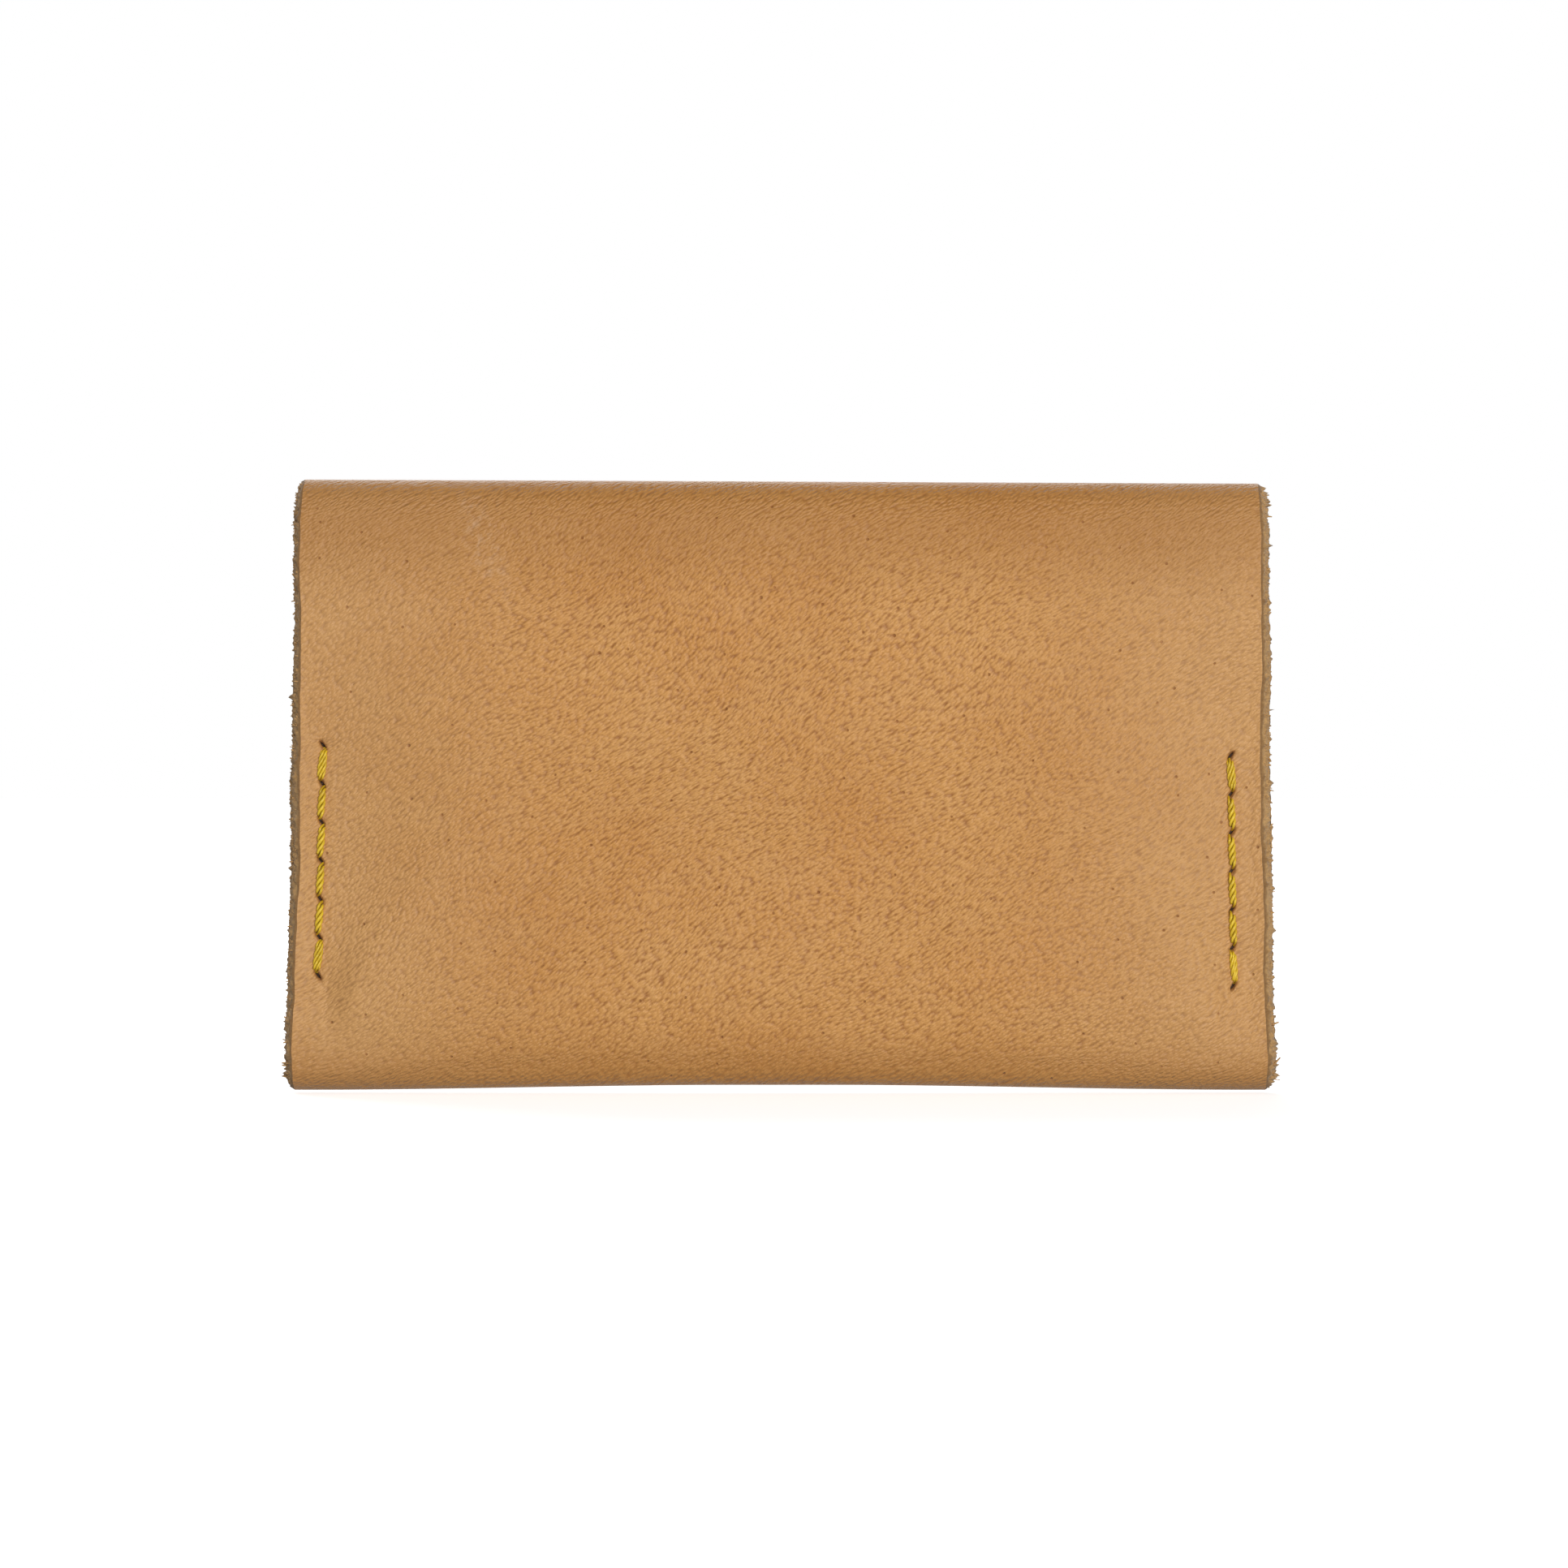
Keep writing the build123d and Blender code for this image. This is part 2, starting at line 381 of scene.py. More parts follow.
def build_hide(name, rows):
    """A length of the strip between the first row and the last: grain side, flesh side and cut edges."""
    shares = np.linspace(0, 1, edge_steps + 1)[1:]
    count = len(columns) + 2 * edge_steps
    bm = start_slab(count, len(rows))
    mesh = bpy.data.meshes.new(name)
    bm.to_mesh(mesh)
    bm.free()
    skin, row, column = slab_spots(mesh, count, len(rows))

    across, places, slit_places = [], [], []
    for on_grain, lift in ((0, -hide / 2), (1, hide / 2)):
        left = flesh_half_width(rows, -1)[:, None] - on_grain * bevel_left
        right = flesh_half_width(rows, 1)[:, None] - on_grain * bevel_right
        inner = np.broadcast_to(columns, (len(rows), len(columns)))
        beyond_left = -(inner_edge + (left - inner_edge) * shares[::-1])
        beyond_right = inner_edge + (right - inner_edge) * shares
        x = np.concatenate([beyond_left, inner, beyond_right], axis=1)
        along = np.broadcast_to(rows[:, None], x.shape)
        length, width = place_in_slit(x, along)
        pressed = on_grain * slit_depth * slit(length, width)
        across.append(x)
        slit_places.append(np.stack([length, width, 0 * x], axis=-1))
        places.append(on_hide(x, along, lift - pressed))
    across, places, slit_places = np.array(across), np.array(places), np.array(slit_places)
    mesh.vertices.foreach_set("co", places[skin, row, column].ravel())
    cut = mesh.attributes.new("slit", "FLOAT_VECTOR", "POINT")
    cut.data.foreach_set("vector", slit_places[skin, row, column].ravel())

    corners = np.empty(len(mesh.loops), int)
    mesh.loops.foreach_get("vertex_index", corners)
    corners = corners.reshape(-1, 4)
    grain_corners = skin[corners].sum(axis=1)
    wall = (grain_corners > 0) & (grain_corners < 4)
    end_wall = wall & (np.ptp(row[corners], axis=1) == 0)
    u = across[skin, row, column][corners]
    v = rows[row][corners]
    depth = side_walls_at + hide * (1 - skin[corners])
    u, v = np.where(wall[:, None], depth, u), np.where(end_wall[:, None], end_walls_at + u, v)
    strip_map = mesh.uv_layers.new(name="strip")
    strip_map.data.foreach_set("uv", np.stack([u, v], axis=-1).ravel())
    slots = np.where(wall, cut_slot, np.where(grain_corners == 4, grain_slot, flesh_slot))
    mesh.polygons.foreach_set("material_index", slots)
    mesh.polygons.foreach_set("use_smooth", ~wall)

    # The rim of each skin is a sharp edge.
    border = np.empty(len(mesh.edges) * 2, int)
    mesh.edges.foreach_get("vertices", border)
    border = border.reshape(-1, 2)
    at_side = (column == 0) | (column == count - 1)
    at_end = (row == 0) | (row == len(rows) - 1)
    down_side = at_side[border].all(axis=1) & (np.ptp(column[border], axis=1) == 0)
    along_end = at_end[border].all(axis=1) & (np.ptp(row[border], axis=1) == 0)
    mesh.edges.foreach_set("use_edge_sharp", down_side | along_end)
    mesh.update()
    return show(name, mesh)


def quarter(number):
    """Where the strip has gone round this many quarters of its top half-turn."""
    return back_end + (top_end - back_end) * number / 4


# The rows of points lie close together along the stitches, and round the folds.
seam_low, seam_high = 9.2 * mm, 36.8 * mm
seam_steps = int((seam_high - seam_low) / (0.22 * mm))
thin = 0.02 * mm  # the outermost row of each length is this narrow, so that its shading meets the next one's
body_rows = stations(
    (0.0, 3),
    (mouth - seam_high, seam_steps),
    (mouth - seam_low, 6),
    (front_end - 1.5 * mm, 44),
    (bottom_end + 1.5 * mm, 6),
    (bottom_end + seam_low - bottom_centre, seam_steps),
    (bottom_end + seam_high - bottom_centre, 24),
    (back_end - 2 * mm, 26),
    (quarter(1) - thin, 1),
    (quarter(1), 0),
)
low_fold_rows, high_fold_rows = (
    stations((quarter(n), 1), (quarter(n) + thin, 16), (quarter(n + 1) - thin, 1), (quarter(n + 1), 0))
    for n in (1, 2)
)
flap_rows = stations((quarter(3), 1), (quarter(3) + thin, 24), (top_end + 2 * mm, 46), (strip_end, 0))


def roll(piece):
    """Bakes the piece's placing into its points."""
    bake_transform(piece)


def add(tree, kind, inputs=None, **settings):
    """A node of a material. An input is set to a number or colour, or linked to another node's output."""
    made = tree.nodes.new(kind)
    for key, value in settings.items():
        setattr(made, key, value)
    for key, value in (inputs or {}).items():
        if isinstance(value, bpy.types.NodeSocket):
            tree.links.new(value, made.inputs[key])
        else:
            made.inputs[key].default_value = value
    return made


def start_material(name):
    material = bpy.data.materials.new(name)
    material.use_nodes = True
    tree = material.node_tree
    tree.nodes.clear()
    return material, tree


def finish_material(material, finish):
    shader = add(material.node_tree, "ShaderNodeBsdfPrincipled", finish)
    add(material.node_tree, "ShaderNodeOutputMaterial", {"Surface": shader.outputs[0]})
    return material


def math(tree, operation, first, second=0.0, clamp=False):
    values = {0: first, 1: second}
    return add(tree, "ShaderNodeMath", values, operation=operation, use_clamp=clamp).outputs[0]


def vector_math(tree, operation, first, second):
    return add(tree, "ShaderNodeVectorMath", {0: first, 1: second}, operation=operation).outputs[0]


def mapping(tree, vector, **values):
    """Turns or stretches a pattern."""
    return add(tree, "ShaderNodeMapping", {0: vector, **values}).outputs[0]


def cells(tree, vector, size, randomness):
    """A pattern of cells of about this size."""
    values = {"Vector": vector, "Scale": 1 / size, "Randomness": randomness}
    return add(tree, "ShaderNodeTexVoronoi", values, voronoi_dimensions="2D").outputs


def share_of(tree, level, most):
    """A level from 0 to 1, brought down to this much at most."""
    return math(tree, "MULTIPLY", level, most)


def tint(tree, factor, first, second):
    return add(tree, "ShaderNodeMix", {0: factor, 6: first, 7: second}, data_type="RGBA").outputs[2]


def ramp(tree, value, *stops):
    """A smooth change of a number: pairs of where and how much."""
    node = add(tree, "ShaderNodeValToRGB", {0: value})
    node.color_ramp.interpolation = "EASE"
    while len(node.color_ramp.elements) < len(stops):
        node.color_ramp.elements.new(0.5)
    for element, (where, level) in zip(node.color_ramp.elements, stops):
        element.position = where
        element.color = (level, level, level, 1)
    return node.outputs[0]


def noise(tree, vector, size, detail=2.0, roughness=0.5):
    """Cloudy noise with features of about this size: a level, then a colour."""
    values = {"Vector": vector, "Scale": 1 / size, "Detail": detail, "Roughness": roughness}
    return add(tree, "ShaderNodeTexNoise", values).outputs


def strip_place(tree):
    """Places on the strip map, in metres."""
    return add(tree, "ShaderNodeUVMap", uv_map="strip").outputs[0]


def add_grain(tree, strip):
    """Fine pebbles, drawn out along flowing lines. Gives the flow, the pebbles' height and the mask of painted
    shade in their creases.
    """
    drift = vector_math(tree, "SUBTRACT", noise(tree, strip, 26 * mm, 1.0)["Color"], (0.5, 0.5, 0.5))
    drift = add(tree, "ShaderNodeVectorMath", {0: drift, "Scale": 5 * mm}, operation="SCALE").outputs[0]
    flow = vector_math(tree, "ADD", strip, drift)
    turned = mapping(tree, flow, Rotation=(0, 0, radians(-35)))
    drawn_out = mapping(tree, turned, Scale=(0.42, 1.0, 1.0))
    pebble = cells(tree, drawn_out, 0.28 * mm, 0.95)["Distance"]
    wrinkle = noise(tree, drawn_out, 0.27 * mm, 2.0, 0.5)[0]
    height = math(tree, "ADD", math(tree, "MULTIPLY", pebble, -0.9), wrinkle)
    hollow = math(tree, "SUBTRACT", math(tree, "MULTIPLY", pebble, 0.7), math(tree, "MULTIPLY", wrinkle, 1.2))
    # The creases' mask: where painted shade darkens the hollows between the pebbles.
    crease_shade_mask = ramp(tree, math(tree, "ADD", hollow, 0.55), (0.0, 0.0), (0.8, 1.0))
    return flow, height, crease_shade_mask


def darken_folds(tree, strip, colour):
    """The strip is a little paler towards its sides, and has painted shade where it is bent, over both folds.
    """
    side_pale, fold_shade_colour = (0.570, 0.330, 0.138, 1), (0.36, 0.150, 0.028, 1)
    across, along = add(tree, "ShaderNodeSeparateXYZ", {0: strip}).outputs[:2]
    from_middle = math(tree, "DIVIDE", math(tree, "ABSOLUTE", across), half_width)
    # Paler towards the sides.
    colour = tint(tree, ramp(tree, from_middle, (0.35, 0.0), (0.95, 0.45)), colour, side_pale)
    # Painted shade over both folds, strongest at the middle of each bend.
    bend = 0.0
    for first, last in ((front_end - 3 * mm, bottom_end + 3 * mm), (back_end - 9 * mm, top_end + 6 * mm)):
        from_fold = math(tree, "ABSOLUTE", math(tree, "SUBTRACT", along, (first + last) / 2))
        near = ramp(tree, math(tree, "DIVIDE", from_fold, last - first), (0.16, 1.0), (0.52, 0.0))
        bend = math(tree, "MAXIMUM", near, bend)
    return tint(tree, share_of(tree, bend, 0.55), colour, fold_shade_colour)


def rub_mark(tree, strip, colour):
    """A pale rubbed mark crosses the back below the top fold, about 4.5 mm wide and 18 mm long."""
    mark_x, mark_z = -30.5 * mm, 56 * mm
    from_mark = vector_math(tree, "SUBTRACT", strip, (mark_x, back_along(mark_x, mark_z), 0))
    from_mark = mapping(tree, from_mark, Rotation=(0, 0, radians(-20)))
    from_mark = mapping(tree, from_mark, Scale=(450, 110, 0))
    from_mark = add(tree, "ShaderNodeVectorMath", {0: from_mark}, operation="LENGTH").outputs["Value"]
    streaks = ramp(tree, noise(tree, strip, 1.1 * mm, 3.0, 0.7)[0], (0.42, 0.0), (0.70, 0.3))
    mark = math(tree, "MULTIPLY", ramp(tree, from_mark, (0.3, 1.0), (1.0, 0.0)), streaks)
    return tint(tree, mark, colour, (0.62, 0.42, 0.27, 1))


def find_pores(tree, flow):
    """Dark pores, in a bit more than half of the cells of a wide pattern: 1 in a pore, and 0 away from it."""
    pores = cells(tree, flow, 4.6 * mm, 1.0)
    spot = ramp(tree, pores["Distance"], (0.012, 1.0), (0.036, 0.0))
    chance = add(tree, "ShaderNodeSeparateColor", {0: pores["Color"]}).outputs[0]
    return math(tree, "MULTIPLY", spot, math(tree, "GREATER_THAN", chance, 0.45))


def darken_slits(tree, colour):
    """The leather is stretched dark round each pricked slit, and painted shade makes the inside of it nearly
    black.
    """
    place = add(tree, "ShaderNodeAttribute", attribute_name="slit").outputs["Vector"]
    length, width, _ = add(tree, "ShaderNodeSeparateXYZ", {0: place}).outputs
    lengthways = math(tree, "MULTIPLY", math(tree, "POWER", length, 2.0), 0.65)
    sideways = math(tree, "MULTIPLY", math(tree, "ABSOLUTE", width), 0.5)
    from_slit = math(tree, "MULTIPLY", math(tree, "ADD", lengthways, sideways), 0.4)
    stretched = ramp(tree, from_slit, (0.3, 0.65), (0.75, 0.0))
    colour = tint(tree, stretched, colour, (0.30, 0.115, 0.025, 1))
    # Painted shade inside each slit, nearly black.
    slit_shade_mask = ramp(tree, from_slit, (0.14, 1.0), (0.36, 0.0))
    return tint(tree, slit_shade_mask, colour, (0.030, 0.012, 0.004, 1))


def grain_leather():
    """The polished grain side: cloudy tan, with fine pebbles, painted shade in their creases, pores, a rubbed
    mark and painted shade on the folds.
    """
    light, deep, pale = (0.620, 0.306, 0.086, 1), (0.560, 0.252, 0.058, 1), (0.640, 0.345, 0.122, 1)
    crease_shade_colour, pore = (0.335, 0.130, 0.028, 1), (0.27, 0.080, 0.016, 1)
    material, tree = start_material("grain_leather")
    strip = strip_place(tree)
    flow, height, crease_shade_mask = add_grain(tree, strip)
    cloud = noise(tree, strip, 24 * mm, 2.0, 0.5)[0]
    patch = noise(tree, flow, 4.0 * mm, 3.0, 0.6)[0]
    spot = find_pores(tree, flow)
    colour = tint(tree, ramp(tree, cloud, (0.35, 0.0), (0.68, 1.0)), light, deep)
    colour = tint(tree, share_of(tree, ramp(tree, patch, (0.4, 0.0), (0.72, 1.0)), 0.3), colour, pale)
    # Painted shade in the creases of the grain.
    colour = tint(tree, crease_shade_mask, colour, crease_shade_colour)
    colour = darken_folds(tree, strip, colour)
    colour = rub_mark(tree, strip, colour)
    colour = tint(tree, share_of(tree, spot, 0.7), colour, pore)
    colour = darken_slits(tree, colour)
    height = math(tree, "SUBTRACT", height, share_of(tree, spot, 0.6))
    roughness = math(tree, "ADD", share_of(tree, patch, 0.16), 0.44)
    bump = add(tree, "ShaderNodeBump", {"Height": height, "Strength": 1.0, "Distance": 0.13 * mm})
    finish = {
        "Base Color": colour,
        "Roughness": roughness,
        "Specular IOR Level": 0.36,
        "Sheen Weight": 0.06,
        "Sheen Roughness": 0.4,
        "Normal": bump.outputs[0],
    }
    return finish_material(material, finish)


def flesh_leather():
    """The flesh side: short matted fibres, paler than the grain and quite dull."""
    root, tip, shadow = (0.36, 0.215, 0.115, 1), (0.52, 0.36, 0.22, 1), (0.33, 0.19, 0.09, 1)
    material, tree = start_material("flesh_leather")
    strip = strip_place(tree)
    nap = noise(tree, strip, 0.5 * mm, 4.0, 0.7)[0]
    cloud = noise(tree, strip, 7 * mm, 3.0)[0]
    colour = tint(tree, ramp(tree, nap, (0.3, 0.0), (0.7, 1.0)), root, tip)
    colour = tint(tree, share_of(tree, ramp(tree, cloud, (0.35, 0.0), (0.7, 1.0)), 0.4), colour, shadow)
    bump = add(tree, "ShaderNodeBump", {"Height": nap, "Strength": 0.9, "Distance": 0.12 * mm})
    finish = {
        "Base Color": colour,
        "Roughness": 0.95,
        "Specular IOR Level": 0.15,
        "Sheen Weight": 0.3,
        "Normal": bump.outputs[0],
    }
    return finish_material(material, finish)


def raw_edge():
    """The cut edge: a bundle of fibres seen end on, burnished dark by the knife next to the grain."""
    shade, lit, dusty = (0.33, 0.170, 0.055, 1), (0.62, 0.365, 0.135, 1), (0.55, 0.335, 0.14, 1)
    burnished = (0.17, 0.085, 0.032, 1)
    material, tree = start_material("raw_edge")
    strip = strip_place(tree)
    across = add(tree, "ShaderNodeSeparateXYZ", {0: strip}).outputs[0]
    depth = math(tree, "DIVIDE", math(tree, "SUBTRACT", across, side_walls_at), hide, clamp=True)
    fibre = noise(tree, strip, 0.28 * mm, 4.0, 0.7)[0]
    patch = noise(tree, strip, 4 * mm, 2.0)[0]
    colour = tint(tree, ramp(tree, fibre, (0.3, 0.0), (0.7, 1.0)), shade, lit)
    colour = tint(tree, share_of(tree, ramp(tree, patch, (0.4, 0.0), (0.65, 1.0)), 0.5), colour, dusty)
    colour = tint(tree, share_of(tree, ramp(tree, depth, (0.05, 1.0), (0.30, 0.0)), 0.75), colour, burnished)
    bump = add(tree, "ShaderNodeBump", {"Height": fibre, "Strength": 1.0, "Distance": 0.1 * mm})
    finish = {
        "Base Color": colour,
        "Roughness": 0.9,
        "Specular IOR Level": 0.2,
        "Sheen Weight": 0.2,
        "Normal": bump.outputs[0],
    }
    return finish_material(material, finish)


grain_side, flesh_side, cut_edge = grain_leather(), flesh_leather(), raw_edge()
body = build_hide("leather_body", body_rows)
low_fold = build_hide("leather_fold_low", low_fold_rows)
high_fold = build_hide("leather_fold_high", high_fold_rows)
flap = build_hide("leather_flap", flap_rows)
stand_for = [
    (body, ["back_panel", "bottom_fold", "pocket_front"]),
    (low_fold, ["top_fold_strip_1"]),
    (high_fold, ["top_fold_strip_2"]),
    (flap, ["top_fold_strip_3", "flap"]),
]
for number, (piece, nodes) in enumerate(stand_for):
    for material in (grain_side, flesh_side, cut_edge):
        piece.data.materials.append(material)
    roll(piece)
    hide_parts(*nodes)

# ---- The fibres of the cut edges ----
# The hide was cut by hand and left raw, so loose fibres stand out of both long edges. They are part of the
# leather itself, and are longest where the folds stretch the edge open.
bottom_shag, bottom_shag_spread = {-1: 1.0, 1: 1.3}, 4.5 * mm
top_shag, top_shag_spread = 0.6, 6 * mm


def looseness(along, side):
    """How shaggy the cut edge is: 1 along the panels, and more at the folds."""
    from_bottom = along - (front_end + bottom_end) / 2 - 3 * mm
    from_top = along - (back_end + top_end) / 2
    bottom = bottom_shag[side] * np.exp(-((from_bottom / bottom_shag_spread) ** 2))
    return 1 + bottom + top_shag * np.exp(-((from_top / top_shag_spread) ** 2))


def edge_points(along, side, depth, stand):
    """Places on a cut edge. Depth is 0 at the grain and 1 at the flesh, and stand is how far out they are."""
    bevel = bevel_right if side > 0 else bevel_left
    reach = flesh_half_width(along, side) - bevel * (1 - depth) + stand
    return on_hide(side * reach, along, hide * (0.5 - depth))


fray_step = 0.17 * mm
fray_columns = 8
fray_root = 0.25 * mm  # how deep the rough skin is rooted in the cut edge
tufts_per_mm = 14
handful_size = 40  # tufts are made this many at a time


def add_tufts(bm, chance, side, tufts):
    """Loose fibres, each a slim four-sided spike with its root in the cut edge."""
    handful = bmesh.new()
    uv = handful.loops.layers.uv.new("strip")
    for root, length, width, place, level in tufts:
        out = Vector((side, chance.normal(0, 0.35), chance.normal(0, 0.5))).normalized()
        turn = out.to_track_quat("Z", "X").to_matrix().to_4x4()
        spot = Matrix.Translation(Vector(root) + out * (length / 2 - 0.05 * mm)) @ turn
        sizes = {"radius1": width, "radius2": 0.45 * width, "depth": length}
        made = bmesh.ops.create_cone(handful, cap_ends=True, segments=4, matrix=spot, **sizes)
        for vert in made["verts"]:
            for loop in vert.link_loops:
                loop[uv].uv = (side_walls_at + level * hide, place)
    mesh = bpy.data.meshes.new("tufts")
    handful.to_mesh(mesh)
    handful.free()
    bm.from_mesh(mesh)
    bpy.data.meshes.remove(mesh)


def build_fray(name, start, end, seed):
    """The rough skin of both cut edges, and the loose fibres that stand out of it."""
    chance = np.random.default_rng(seed)
    bm = bmesh.new()
    rows = np.linspace(start, end, int((end - start) / fray_step) + 2)
    for side in (-1, 1):
        slab = start_slab(fray_columns, len(rows))
        mesh = bpy.data.meshes.new(name)
        slab.to_mesh(mesh)
        slab.free()
        skin, row, column = slab_spots(mesh, fray_columns, len(rows))

        # The rough skin is smoothed along the edge, and stands out least next to the grain.
        rough = chance.gamma(0.8, 0.16, (len(rows), fray_columns)) * mm
        rough *= looseness(rows, side)[:, None] ** 0.6
        rough[1:-1] = (rough[:-2] + 2 * rough[1:-1] + rough[2:]) / 4
        rough[:, 0] *= 0.15
        rough[:, -1] *= 0.6
        depth = np.broadcast_to(np.linspace(0.02, 1.04, fray_columns), rough.shape)
        lengthwise = np.broadcast_to(rows[:, None], rough.shape)
        under = edge_points(lengthwise, side, 0.5 + (depth - 0.5) * 0.9, 0 * rough - fray_root)
        over = edge_points(lengthwise, side, depth, rough + 0.015 * mm)
        places = np.array([under, over])
        mesh.vertices.foreach_set("co", places[skin, row, column].ravel())
        corners = np.empty(len(mesh.loops), int)
        mesh.loops.foreach_get("vertex_index", corners)
        spread = np.stack([side_walls_at + depth * hide, lengthwise], axis=-1)
        mesh.uv_layers.new(name="strip").data.foreach_set("uv", spread[row, column][corners].ravel())
        bm.from_mesh(mesh)
        bpy.data.meshes.remove(mesh)
    for side in (-1, 1):
        tufts = int((end - start) / mm * tufts_per_mm)
        where = chance.uniform(start, end, tufts)
        deep = chance.uniform(0.25, 1.0, tufts)
        roots = edge_points(where, side, deep, 0 * where)
        lengths = chance.gamma(2.2, 0.055, tufts) * mm * looseness(where, side) + 0.12 * mm
        widths = chance.uniform(0.07, 0.16, tufts) * mm
        all_tufts = list(zip(roots, lengths, widths, where, deep))
        for first in range(0, tufts, handful_size):
            add_tufts(bm, chance, side, all_tufts[first : first + handful_size])
    bmesh.ops.recalc_face_normals(bm, faces=bm.faces[:])
    for face in bm.faces:
        face.smooth = True
    mesh = bpy.data.meshes.new(name)
    bm.to_mesh(mesh)
    bm.free()
    mesh.materials.append(cut_edge)
    return show(name, mesh)


spans = [(0, quarter(1)), (quarter(1), quarter(2)), (quarter(2), quarter(3)), (quarter(3), strip_end)]
fray_names = ["fray_body", "fray_fold_low", "fray_fold_high", "fray_flap"]
for number, (name, (start, end)) in enumerate(zip(fray_names, spans)):
    fray = build_fray(name, start, end, 40 + number)
    roll(fray)

# ---- The seam threads ----
# Each seam is one waxed thread of three twisted plies, saddle-stitched by hand from both faces, and doubled
# back over the first and the last stitch to lock it.
plies = 3
ply_radius = 0.185 * mm
ply_offset = 0.225 * mm
lay_length = 2.7 * mm  # one full turn of the plies
thread_height = 0.26 * mm  # how high the thread's middle rides over the grain
slit_entry = 0.75 * mm  # how deep in its slit a stitch starts and ends
doubled_aside = 0.29 * mm  # how far each strand of a doubled stitch lies from the seam's line
stitch_points = 44
groove_depth, ply_crest = 0.16 * mm, 0.36 * mm  # how far the two lie from the thread's middle


def waxed_thread():
    """Golden-yellow waxed thread: glossy, with fine filaments, and painted shade in the grooves of its plies.
    """
    gold, amber, straw = (0.76, 0.500, 0.012, 1), (0.62, 0.385, 0.006, 1), (0.82, 0.66, 0.09, 1)
    groove_shade_colour = (0.20, 0.090, 0.003, 1)
    material, tree = start_material("waxed_thread")
    place = add(tree, "ShaderNodeTexCoord").outputs["Object"]
    fibre = noise(tree, mapping(tree, place, Scale=(1.0, 1.0, 0.16)), 0.06 * mm, 2.0, 0.6)[0]
    patch = noise(tree, place, 1.3 * mm, 1.0)[0]
    groove = add(tree, "ShaderNodeAttribute", attribute_name="groove").outputs["Fac"]
    colour = tint(tree, ramp(tree, patch, (0.35, 0.0), (0.7, 1.0)), gold, amber)
    colour = tint(tree, share_of(tree, ramp(tree, fibre, (0.35, 0.0), (0.75, 1.0)), 0.35), colour, straw)
    # Painted shade in the grooves between the plies.
    colour = tint(tree, share_of(tree, groove, 0.95), colour, groove_shade_colour)
    bump = add(tree, "ShaderNodeBump", {"Height": fibre, "Strength": 0.5, "Distance": 0.03 * mm})
    finish = {
        "Base Color": colour,
        "Roughness": 0.42,
        "Specular IOR Level": 0.5,
        "Normal": bump.outputs[0],
    }
    return finish_material(material, finish)


def lay_stitch(curve, core, sewn, number, face, aside):
    """One strand from one hole to the next, on one face. It dips into the slit at each end."""
    share = np.linspace(0, 1, stitch_points)
    first, second = sewn["heights"][number], sewn["heights"][number + 1]
    z = first + (second - first) * (0.08 + 0.84 * share)
    middle = np.interp(z, sewn["heights"], sewn["across"])
    swing = sewn["slant"] * (2 * share - 1) * (1 if face > 0 else -1)
    fullness = np.sin(pi * (share * 0.94 + 0.03)) ** 0.45
    x = middle + swing + aside * fullness
    rise = ease(share, 0, 0.16) * ease(1 - share, 0, 0.16)
    above = thread_height * (0.75 if aside else 1.0)
    lift = hide / 2 - slit_entry + (slit_entry + above) * rise
    along = back_along(x, z) if face > 0 else front_along(x, z)
    centres = on_hide(x, along, lift)

    # The plies twist round the strand's middle, and are squeezed slimmer towards the slits.
    onward = np.gradient(centres, axis=0)
    onward /= np.linalg.norm(onward, axis=1, keepdims=True)
    up = on_hide(x, along, lift + 0.1 * mm) - centres
    up -= onward * (up * onward).sum(axis=1, keepdims=True)
    up /= np.linalg.norm(up, axis=1, keepdims=True)
    beside = np.cross(onward, up)
    start_turn = number * 1.9 + aside / mm
    turn = start_turn + tau * (second - first) * share / lay_length
    slim = (0.45 + 0.55 * fullness) * (0.72 if aside else 1.0)
    core += [(Vector(centre), size) for centre, size in zip(centres, slim)]
    for ply in range(plies):
        angle = turn + tau * ply / plies
        reach = (ply_offset * slim)[:, None]
        points = centres + reach * (np.cos(angle)[:, None] * up + np.sin(angle)[:, None] * beside)
        spline = curve.splines.new("POLY")
        spline.points.add(stitch_points - 1)
        for target, point, thick in zip(spline.points, points, slim):
            target.co = (*point, 1)
            target.radius = thick * (1.12 if aside else 1.0)
        spline.use_smooth = True


def build_thread(name, sewn):
    """All the stitches of a seam on both faces, with an attribute that tells grooves from crests, for the
    painted shade in the grooves.
    """
    curve = bpy.data.curves.new(name, "CURVE")
    curve.dimensions = "3D"
    curve.bevel_depth = ply_radius
    curve.bevel_resolution = 2
    curve.use_fill_caps = True
    core = []
    for face in (1, -1):
        for number in range(hole_count - 1):
            ends = number in (0, hole_count - 2)
            strands = (-doubled_aside, doubled_aside) if ends else (0,)
            for aside in strands:
                lay_stitch(curve, core, sewn, number, face, aside)
    drawn = bpy.data.objects.new(name + "_line", curve)
    bpy.context.collection.objects.link(drawn)
    mesh = bpy.data.meshes.new_from_object(drawn)
    bpy.data.objects.remove(drawn)
    mesh.name = name
    middles = kdtree.KDTree(len(core))
    for index, (centre, _) in enumerate(core):
        middles.insert(centre, index)
    middles.balance()
    groove = mesh.attributes.new("groove", "FLOAT", "POINT")
    for vert in mesh.vertices:
        _, index, out = middles.find(vert.co)
        groove.data[vert.index].value = 1 - ease(out / core[index][1], groove_depth, ply_crest)
    mesh.materials.clear()
    mesh.materials.append(thread_finish)
    return show(name, mesh)


thread_finish = waxed_thread()
for side, sewn in rows_sewn.items():
    thread = build_thread(f"{side}_seam", sewn)
    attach(thread, "holder")
    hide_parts(f"{side}_seam_thread")

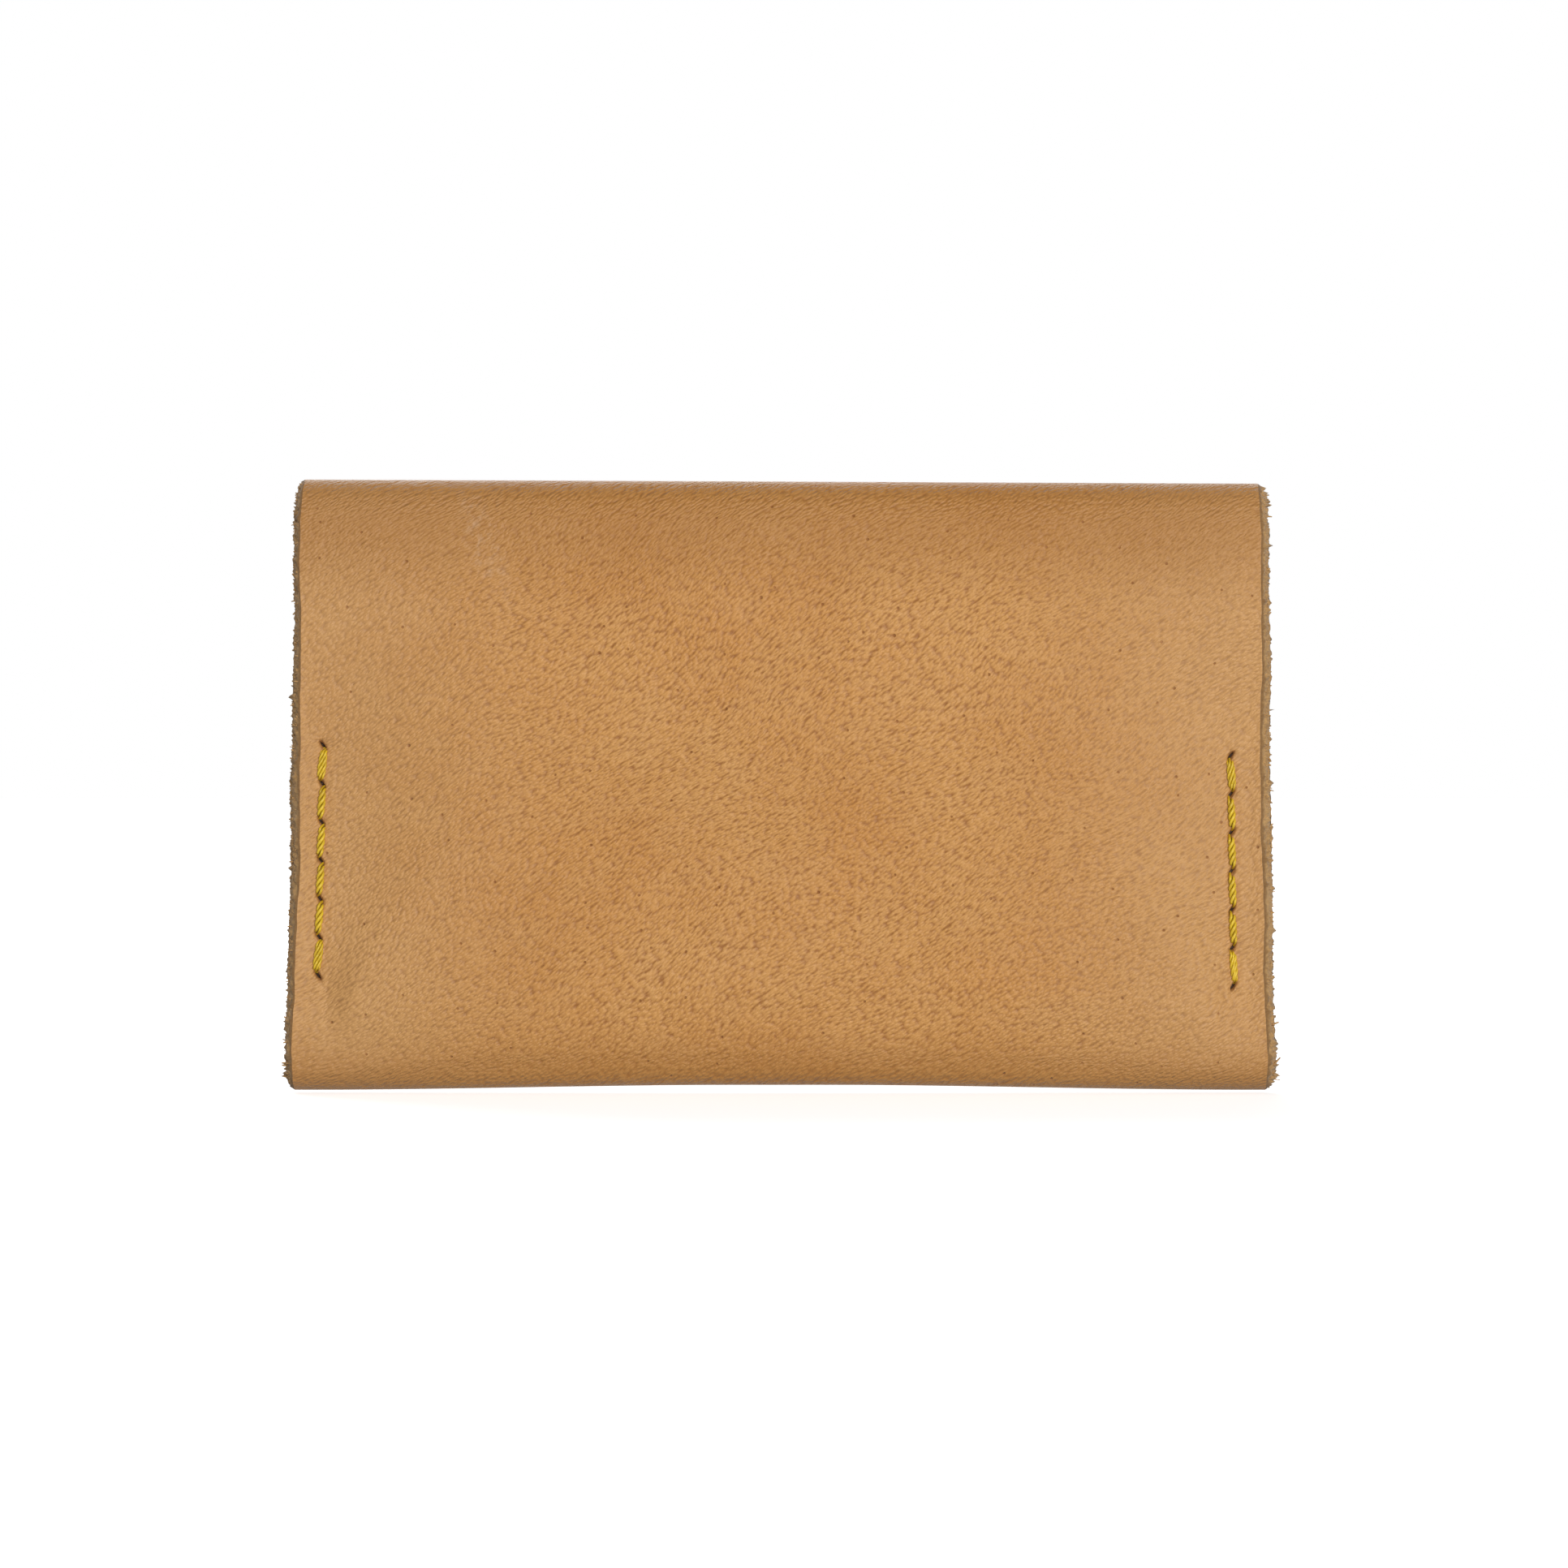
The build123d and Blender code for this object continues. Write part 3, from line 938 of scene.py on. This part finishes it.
# ---- The floor, the lights and the camera ----
# The holder stands over a wide disc of white paper, which glows more away from it and so runs on into the
# white surround. One large softbox stands low in front and another high behind. A long lens looks straight at
# the back panel from the height of its middle.
floor_material, tree = start_material("floor_paper")
place = add(tree, "ShaderNodeTexCoord").outputs["Object"]
distance = add(tree, "ShaderNodeVectorMath", {0: place}, operation="LENGTH").outputs["Value"]
paper = {
    "Base Color": (0.85, 0.85, 0.85, 1),
    "Roughness": 0.9,
    "Specular IOR Level": 0.1,
    "Emission Color": (1, 1, 1, 1),
    "Emission Strength": ramp(tree, distance, (0.10, 0.62), (0.5, 1.0)),
}
finish_material(floor_material, paper)
floor_radius = 12.0
floor_level = -0.6 * mm  # just clear of the folded edge, which sags at its ends
bm = bmesh.new()
bmesh.ops.create_circle(bm, cap_ends=True, segments=64, radius=floor_radius)
bmesh.ops.translate(bm, verts=bm.verts[:], vec=(0, 0, floor_level))
mesh = bpy.data.meshes.new("floor")
bm.to_mesh(mesh)
bm.free()
mesh.materials.append(floor_material)
floor = show("floor", mesh)
floor.visible_diffuse = False

# The surround is white to the camera, and only a faint fill to everything else.
scene = bpy.context.scene
scene.view_settings.view_transform = "Standard"
world = bpy.data.worlds.new("studio")
scene.world = world
world.use_nodes = True
tree = world.node_tree
tree.nodes.clear()
seen = add(tree, "ShaderNodeLightPath").outputs["Is Camera Ray"]
surround = add(tree, "ShaderNodeBackground", {"Color": (1, 1, 1, 1), "Strength": 1.0}).outputs[0]
fill = add(tree, "ShaderNodeBackground", {"Color": (1, 1, 1, 1), "Strength": 0.24}).outputs[0]
both = add(tree, "ShaderNodeMixShader", {0: seen, 1: fill, 2: surround}).outputs[0]
add(tree, "ShaderNodeOutputWorld", {0: both})

centre = (cad_low + cad_high) / 2


def softbox(name, place, size, power):
    """A square light that faces the middle of the holder."""
    light = bpy.data.lights.new(name, "AREA")
    light.size = size
    light.energy = power
    lamp = bpy.data.objects.new(name, light)
    lamp.location = place
    lamp.rotation_euler = (centre - Vector(place)).to_track_quat("-Z", "Y").to_euler()
    bpy.context.collection.objects.link(lamp)


softbox("key", place=(0.24, -0.95, 0.17), size=0.5, power=9.7)
softbox("rear", place=(-0.25, 0.85, 0.55), size=0.9, power=9.0)

lens, sensor = 135.0, 36.0
view_width = 161.0 * mm  # what the camera takes in, at the back panel
view_middle = 0.37 * mm  # the holder is a little left of the middle of the view
camera = bpy.data.cameras.new("camera")
camera.lens = lens
camera.sensor_width = sensor
viewer = bpy.data.objects.new("camera", camera)
viewer.location = (view_middle, cad_low.y - view_width * lens / sensor, centre.z)
viewer.rotation_euler = (pi / 2, 0, 0)
bpy.context.collection.objects.link(viewer)
scene.camera = viewer
